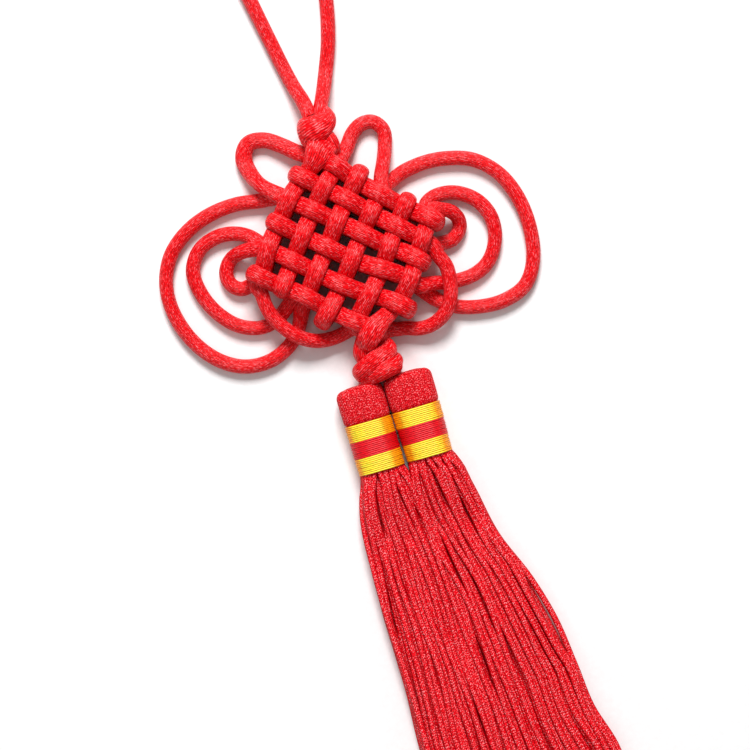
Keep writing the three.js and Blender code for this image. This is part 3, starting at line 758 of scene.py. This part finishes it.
print("camera")
cameraView = {
    "middle": (-1.28, -22.81, 4.2),  # what the picture's middle shows
    "covers": 128.2,  # millimetres across, at that height
    "roll": -16.5, "lens": 100.0, "sensor": 36.0, "nearest": 0.01,
}


def makeCamera():
    data = bpy.data.cameras.new("camera")
    data.lens = cameraView["lens"]
    data.sensor_width = cameraView["sensor"]
    data.clip_start = cameraView["nearest"]
    camera = bpy.data.objects.new("camera", data)
    bpy.context.scene.collection.objects.link(camera)
    distance = cameraView["covers"] * mm * data.lens / data.sensor_width
    camera.location = inFrame(cameraView["middle"]) + up * distance
    camera.rotation_euler = (0, 0, math.radians(cameraView["roll"]))
    bpy.context.scene.camera = camera


makeCamera()

print("knot")
makeCord("knotCordRight", cordHalf("right"), "knot_cord", 3)
makeCord("knotCordLeft", cordHalf("left"), "knot_cord", 8)

print("hanging loop")
loopRoute = [
    (2.2, 22.2, middle), (2.6, 23.3, 4.6), (3.25, 24.7, 3.7), (4.2, 26.8, 2.4),
    (5.6, 30.2, rest), (7.3, 34.6, rest), (8.9, 41.0, rest), (9.9, 48.0, rest),
    (10.5, 56.0, rest), (10.7, 66.0, rest), (10.4, 78.0, rest), (9.3, 88.0, rest),
    (6.7, 94.2, rest), (2.6, 96.4, rest), (-1.5, 94.4, rest), (-4.2, 88.2, rest),
    (-5.5, 78.0, rest), (-5.8, 66.0, rest), (-5.0, 54.0, rest), (-3.5, 44.6, rest),
    (-2.3, 37.6, rest), (-1.4, 32.4, rest), (-0.6, 28.6, 1.8), (0.1, 26.0, 3.2),
    (0.45, 23.9, 4.1), (0.6, 22.2, middle),
]
makeCord("hangingLoop", smoothCurve([station(point) for point in loopRoute], cordSizes["step"]),
         "hanging_loop", 5)

print("tassels")
headSizes = {
    "thick": 6.2, "length": 5.5, "crown": 0.5, "corner": 1.4, "squareness": 3.4,
    "flatter": 0.8,  # what is taken off its thickness, as a share of what is off its width
    "folds": 26, "foldRelief": 0.03, "points": 180,
}
bandSizes = {
    "length": 2.6, "gap": 0.3, "wall": 0.8, "proud": 0.25, "raised": 0.02, "corner": 2.9,
    "turns": 9, "threadShare": 0.56,  # a thread's radius as a share of its pitch
    "threadSides": 8, "cornerSteps": 9, "steps": 72,
    "swell": (0.988, 1.006), "lean": 0.012,  # how uneven the turns are
}
bandPitch = bandSizes["length"] + bandSizes["gap"]
strandSizes = {
    "width": 1.08, "thickness": 0.92, "sides": 10, "steps": 88,
    # roots stand in columns and ranks inside the bands, this far in from the head's sides
    "columns": 8, "ranks": 7, "insetWide": 0.65, "insetThick": 0.7, "squareness": 2.5,
    "layers": 5, "layerPitch": 0.72,  # how the strands lie further down
    "loosens": (0.15, 0.2, 1.2),  # how much the roots spread, from and over which length
    "opens": 4.2, "opensFrom": 0.4,  # over this length a strand goes from its root to its lane
    "settles": 18.0,  # and over this one it sinks to its own layer
    "tucked": 1.4, "tuckedUneven": (0.6, 1.8), "tipUneven": 2.2, "laneUneven": 0.8,
    # each strand's own slow waves: their lengths, and what they do to its lane, height and girth
    "waveLengths": (3, 14), "wander": 0.55, "rise": 0.25, "unevenGirth": 0.06,
}
# Each row of a skirt is a height on the knot and the tassel's left and right edges there. Each
# band is narrower than the last by squeeze
tassels = {
    "left": {
        "across": -4.7, "width": 7.8, "top": -24.4, "squeeze": 0.0, "seed": 11,
        "skirt": [(-38, -8.7, -0.6), (-46, -10.8, 0.5), (-55, -11.3, 1.7), (-65, -11.7, 2.6),
                  (-76, -11.9, 3.2), (-87, -12.2, 3.7), (-105, -11.7, 4.2),
                  (-125, -10.7, 4.5), (-148, -9.7, 4.4)],
    },
    "right": {
        "across": 3.82, "width": 8.1, "top": -24.4, "squeeze": 0.24, "seed": 12,
        "skirt": [(-37, -0.5, 8.1), (-46, -0.9, 9.8), (-55, 0.2, 11.4), (-64, 1.5, 15.0),
                  (-72, 2.1, 17.2), (-80, 2.6, 18.0), (-88, 3.0, 18.5), (-97, 3.4, 20.8),
                  (-120, 3.8, 21.0), (-148, 3.9, 20.0)],
        # where the outermost strand stands off, over how much of its length, and how far
        "parting": (-70, 10, 1.3),
    },
}


def skirtEdges(skirt, y):
    # both edges of a tassel at a height, on a smooth curve through its skirt
    last = len(skirt) - 1
    i = 0
    while i < last - 1 and y < skirt[i + 1][0]:
        i += 1
    rows = [Vector(skirt[min(max(k, 0), last)]) for k in range(i - 1, i + 3)]
    part = min(max((y - rows[1][0]) / (rows[2][0] - rows[1][0]), 0), 1)
    slopes = [(rows[k + 1] - rows[k - 1]) / (rows[k + 1][0] - rows[k - 1][0]) for k in (1, 2)]
    span = rows[2][0] - rows[1][0]
    # cubic shares of both rows and of their slopes
    a, b = part * part * (3 - 2 * part), part * (1 - part) ** 2 * span
    c = part * part * (part - 1) * span
    edges = rows[1] * (1 - a) + rows[2] * a + slopes[0] * b + slopes[1] * c
    return edges[1], edges[2]


def strandGuides(tassel):
    sizes = strandSizes
    drawn = random.Random(tassel["seed"])
    count = sizes["columns"] * sizes["ranks"]
    top = tassel["top"] - headSizes["length"] - 3 * bandPitch
    parting = tassel.get("parting")
    halfWidth = tassel["width"] / 2 - tassel["squeeze"] - sizes["insetWide"]
    halfThick = headSizes["thick"] / 2 - sizes["insetThick"]
    spread, spreadFrom, spreadOver = sizes["loosens"]
    squareness = sizes["squareness"]
    guides = []
    for column in range(sizes["columns"]):
        lanes = list(range(sizes["ranks"]))
        drawn.shuffle(lanes)
        for rank, lane in enumerate(lanes):
            numbered = column * sizes["ranks"] + lane
            uneven = drawn.uniform(-sizes["laneUneven"], sizes["laneUneven"])
            share = min(max((numbered + uneven) / (count - 1), 0), 1)
            layer = (numbered * 2 + column) % sizes["layers"]
            if rank >= sizes["ranks"] - 2:  # what starts on top stays on top
                layer = max(layer, sizes["layers"] - 2)
            # the square of columns and ranks is drawn out into the head's rounded outline
            u = 2 * column / (sizes["columns"] - 1) - 1
            v = 2 * rank / (sizes["ranks"] - 1) - 1
            pull = max(abs(u), abs(v), 0.01)
            pull /= (abs(u) ** squareness + abs(v) ** squareness + 1e-6) ** (1 / squareness)
            root = tassel["across"] + halfWidth * u * pull
            rootHeight = headSizes["thick"] / 2 + halfThick * v * pull
            tucked = sizes["tucked"] * drawn.uniform(*sizes["tuckedUneven"])
            layHeight = sizes["thickness"] / 2 + layer * sizes["layerPitch"]
            tip = tassel["skirt"][-1][0] + drawn.uniform(-1, 1) * sizes["tipUneven"]
            waves = [(drawn.uniform(*sizes["waveLengths"]), drawn.uniform(0, math.tau))
                     for n in range(3)]
            guide = []
            for n in range(sizes["steps"] + 1):
                y = top + tucked + (tip - top - tucked) * n / sizes["steps"]
                down = top - y
                left, right = skirtEdges(tassel["skirt"], y)
                if parting and share < 1:
                    right -= parting[2] * max(0, 1 - ((y - parting[0]) / parting[1]) ** 2)
                lying = left + sizes["width"] / 2 + (right - left - sizes["width"]) * share
                opened = smoothstep((down + sizes["opensFrom"]) / sizes["opens"])
                settled = smoothstep(down / sizes["settles"])
                sway = sum(math.sin(down / length + phase) for length, phase in waves) / 3
                loosened = 1 + spread * smoothstep((down + spreadFrom) / spreadOver)
                x = tassel["across"] + (root - tassel["across"]) * loosened
                x += (lying - x) * opened + sway * sizes["wander"] * opened
                z = rootHeight + (layHeight - rootHeight) * settled
                lowest = sizes["thickness"] / 2 + guideRules["clearance"]
                z = max(z + sizes["rise"] * settled * sway, lowest)
                girth = 1 + sizes["unevenGirth"] * sway
                guide.append(station((x, y, z), girth, girth))
            guides.append(guide)
    return guides


def headOutline(tassel, inset, base, top):
    # a rounded rectangle, waved where the folded cords lie side by side
    power, count = headSizes["squareness"], headSizes["points"]
    outline = []
    for n in range(count):
        angle = math.tau * n / count
        c, s = math.cos(angle), math.sin(angle)
        size = (abs(c) ** power + abs(s) ** power) ** (-1 / power)
        fold = abs(math.sin(headSizes["folds"] * angle / 2))
        fold = 1 - headSizes["foldRelief"] * (1 - fold)
        x = (tassel["width"] / 2 + bandSizes["proud"] - inset) * c * size * fold
        z = (top - base) / 2 * s * size * (fold if s > 0 else 1)
        outline.append((tassel["across"] + x, (base + top) / 2 + z))
    return outline


def headProfile():
    # how far down the head, and how far inside its widest outline: the crown, its rounded
    # shoulder, the straight side, and the neck inside the bands
    corner, crown = headSizes["corner"], headSizes["crown"]
    profile = [(-crown - 0.22, 2.9), (-crown - 0.18, 2.3), (-crown - 0.08, 1.8)]
    for n in range(7):
        angle = math.radians(15 * n)
        profile.append((-crown + corner * (1 - math.cos(angle)), corner * (1 - math.sin(angle))))
    neck = bandSizes["wall"] + bandSizes["gap"] - bandSizes["proud"]
    length = headSizes["length"]
    profile += [(2.6, 0), (4.0, 0.02), (length - 0.5, 0.06), (length - 0.1, 0.2),
                (length + 0.15, 0.5), (length + 0.5, neck), (length + 3 * bandPitch - 1, neck)]
    return profile


def makeHead(side, tassel, finish):
    count, thick = headSizes["points"], headSizes["thick"]
    vertices, faces, uvs = [], [], []
    profile = headProfile()
    for down, inset in profile:
        lower = inset * headSizes["flatter"]
        vertices += [inFrame((x, tassel["top"] - down, z))
                     for x, z in headOutline(tassel, inset, lower, thick - lower)]
    for ring in range(len(profile) - 1):
        for n in range(count):
            m = (n + 1) % count
            a, b = ring * count, (ring + 1) * count
            faces.append((a + n, a + m, b + m, b + n))
            u0, u1 = profile[ring][0] / 10, profile[ring + 1][0] / 10
            v0, v1 = n / count, (n + 1) / count
            uvs += [(u0, v0), (u0, v1), (u1, v1), (u1, v0)]
    for ring, order in ((0, -1), (len(profile) - 1, 1)):
        faces.append(tuple([ring * count + n for n in range(count)][::order]))
        uvs += [(profile[ring][0] / 10, n / count) for n in range(count)][::order]
    mesh = bpy.data.meshes.new("tasselHead")
    mesh.from_pydata(vertices, [], faces)
    layer = mesh.uv_layers.new(name="UVMap")
    layer.data.foreach_set("uv", [value for uv in uvs for value in uv])
    mesh.polygons.foreach_set("use_smooth", [True] * len(mesh.polygons))
    mesh.materials.append(finish)
    head = bpy.data.objects.new(f"tasselHead{side.title()}", mesh)
    bpy.context.scene.collection.objects.link(head)
    return head


def makeTassel(side, tassel):
    guide = guideObject("strandGuides", strandGuides(tassel))
    strands = fromTree(guide, sweptCord, {
        "Width": strandSizes["width"] * mm, "Thickness": strandSizes["thickness"] * mm,
        "Sides": strandSizes["sides"], "Finish": tasselYarn,
    }, f"tasselStrands{side.title()}")
    for piece in (strands, makeHead(side, tassel, headYarn)):
        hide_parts(f"tassel_{side}")
        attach(piece, "root")


tasselYarn = yarnMaterial("tassel", yarnLooks["tassel"])
headYarn = yarnMaterial("head", yarnLooks["head"])
for side, tassel in tassels.items():
    makeTassel(side, tassel)


# Thread bands: turns of thread lie side by side round the head
def threadBandTree():
    size = "NodeSocketFloat"
    tree, given, result = newTree("threadBand", [
        ("Base", "NodeSocketGeometry", None), ("Width", size, 0.008), ("Height", size, 0.006),
        ("Corner", size, 0.002), ("Pitch", size, 0.0003), ("Thread", size, 0.0002),
        ("Turns", "NodeSocketInt", 9), ("Place", "NodeSocketVector", None),
        ("Seed", "NodeSocketInt", 1), ("Finish", "NodeSocketMaterial", None),
    ])
    outline = addNode(tree, "GeometryNodeCurvePrimitiveQuadrilateral", {
        "Width": given["Width"], "Height": given["Height"],
    })
    rounded = addNode(tree, "GeometryNodeFilletCurve", {
        "Curve": outline.outputs[0], "Radius": given["Corner"],
        "Count": bandSizes["cornerSteps"],
    }, mode="POLY")
    upright = addNode(tree, "GeometryNodeTransform", {
        "Geometry": rounded.outputs[0], "Rotation": (-math.pi / 2, 0, 0),
    })
    fine = addNode(tree, "GeometryNodeResampleCurve", {
        "Curve": upright.outputs[0], "Count": bandSizes["steps"],
    })
    step = addNode(tree, "ShaderNodeCombineXYZ", {
        1: number(tree, "MULTIPLY", given["Pitch"], -1.0),
    })
    stack = addNode(tree, "GeometryNodeMeshLine", {
        "Count": given["Turns"], "Start Location": given["Place"], "Offset": step.outputs[0],
    })
    swell = addNode(tree, "FunctionNodeRandomValue", {
        2: bandSizes["swell"][0], 3: bandSizes["swell"][1], "Seed": given["Seed"],
    })
    lean = addNode(tree, "FunctionNodeRandomValue", {
        2: -bandSizes["lean"], 3: bandSizes["lean"],
        "Seed": number(tree, "ADD", given["Seed"], 7.0),
    })
    tilt = addNode(tree, "ShaderNodeCombineXYZ", {2: lean.outputs[1]})
    turns = addNode(tree, "GeometryNodeInstanceOnPoints", {
        "Points": stack.outputs[0], "Instance": fine.outputs[0], "Scale": swell.outputs[1],
        "Rotation": tilt.outputs[0],
    })
    lines = addNode(tree, "GeometryNodeRealizeInstances", {"Geometry": turns.outputs[0]})
    kept = captured(tree, lines.outputs[0], [
        ("FLOAT", "part", addNode(tree, "GeometryNodeSplineParameter").outputs["Factor"]),
    ])
    # once round in centimetres, a little under twice the sides because of the corners
    girth = number(tree, "MULTIPLY", number(tree, "ADD", given["Width"], given["Height"]), 180.0)
    thread = addNode(tree, "GeometryNodeCurvePrimitiveCircle", {
        "Resolution": bandSizes["threadSides"], "Radius": given["Thread"],
    })
    rim = captured(tree, thread.outputs[0], [
        ("FLOAT", "turn", addNode(tree, "GeometryNodeSplineParameter").outputs["Factor"]),
    ])
    swept = addNode(tree, "GeometryNodeCurveToMesh", {
        "Curve": kept[0], "Profile Curve": rim[0],
    })
    grid = addNode(tree, "ShaderNodeCombineXYZ", {
        0: number(tree, "MULTIPLY", roundTurn(tree, kept["part"]), girth),
        1: roundTurn(tree, rim["turn"]),
    })
    finishTree(tree, swept.outputs[0], grid.outputs[0], given["Finish"], result)
    return tree


print("thread bands")
threadBand = threadBandTree()
threadFinishes = {name: threadMaterial("thread" + name.title(), look)
                  for name, look in threadLooks.items()}


def makeBand(side, tassel, level, count, colour):
    pitch = bandPitch / bandSizes["turns"]
    thread = pitch * bandSizes["threadShare"]
    width = tassel["width"] + 2 * bandSizes["proud"] - 2 * thread - count * tassel["squeeze"]
    height = headSizes["thick"] + bandSizes["proud"] - 2 * thread
    down = headSizes["length"] + bandSizes["gap"] / 2 + count * bandPitch + pitch / 2
    middleHeight = (headSizes["thick"] + bandSizes["proud"]) / 2 + bandSizes["raised"]
    place = inFrame((tassel["across"], tassel["top"] - down, middleHeight))
    base = guideObject("bandBase", [])
    band = fromTree(base, threadBand, {
        "Width": width * mm, "Height": height * mm, "Corner": bandSizes["corner"] * mm,
        "Pitch": pitch * mm, "Thread": thread * mm, "Turns": bandSizes["turns"],
        "Place": tuple(place), "Seed": count + tassel["seed"],
        "Finish": threadFinishes[colour],
    }, f"threadBand{level.title()}{side.title()}")
    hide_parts(f"band_{level}_{side}")
    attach(band, "root")


bandColours = (("top", "yellow"), ("middle", "red"), ("low", "yellow"))
for side, tassel in tassels.items():
    for count, (level, colour) in enumerate(bandColours):
        makeBand(side, tassel, level, count, colour)

print("floor and light")
studio = {
    "floor": 3.0, "sky": 0.32,
    # each lamp's power, place and size
    "lamps": {"key": (8.2, (0.12, 0.55, 0.62), 0.3), "fill": (1.0, (-0.6, -0.2, 0.8), 0.8)},
}


def makeStudio():
    half = studio["floor"] / 2
    mesh = bpy.data.meshes.new("floor")
    mesh.from_pydata([(-half, -half, 0), (half, -half, 0), (half, half, 0), (-half, half, 0)],
                     [], [(0, 1, 2, 3)])
    mesh.materials.append(floorMaterial())
    floor = bpy.data.objects.new("floor", mesh)
    bpy.context.scene.collection.objects.link(floor)
    world = bpy.data.worlds.new("studio")
    world.use_nodes = True
    world.node_tree.nodes["Background"].inputs["Color"].default_value = (1, 1, 1, 1)
    world.node_tree.nodes["Background"].inputs["Strength"].default_value = studio["sky"]
    bpy.context.scene.world = world
    for name, (power, place, size) in studio["lamps"].items():
        data = bpy.data.lights.new(name, "AREA")
        data.energy = power
        data.size = size
        lamp = bpy.data.objects.new(name, data)
        lamp.location = place
        lamp.rotation_euler = (-Vector(place)).to_track_quat("-Z", "Y").to_euler()
        bpy.context.scene.collection.objects.link(lamp)
    bpy.context.scene.view_settings.view_transform = "Standard"


makeStudio()
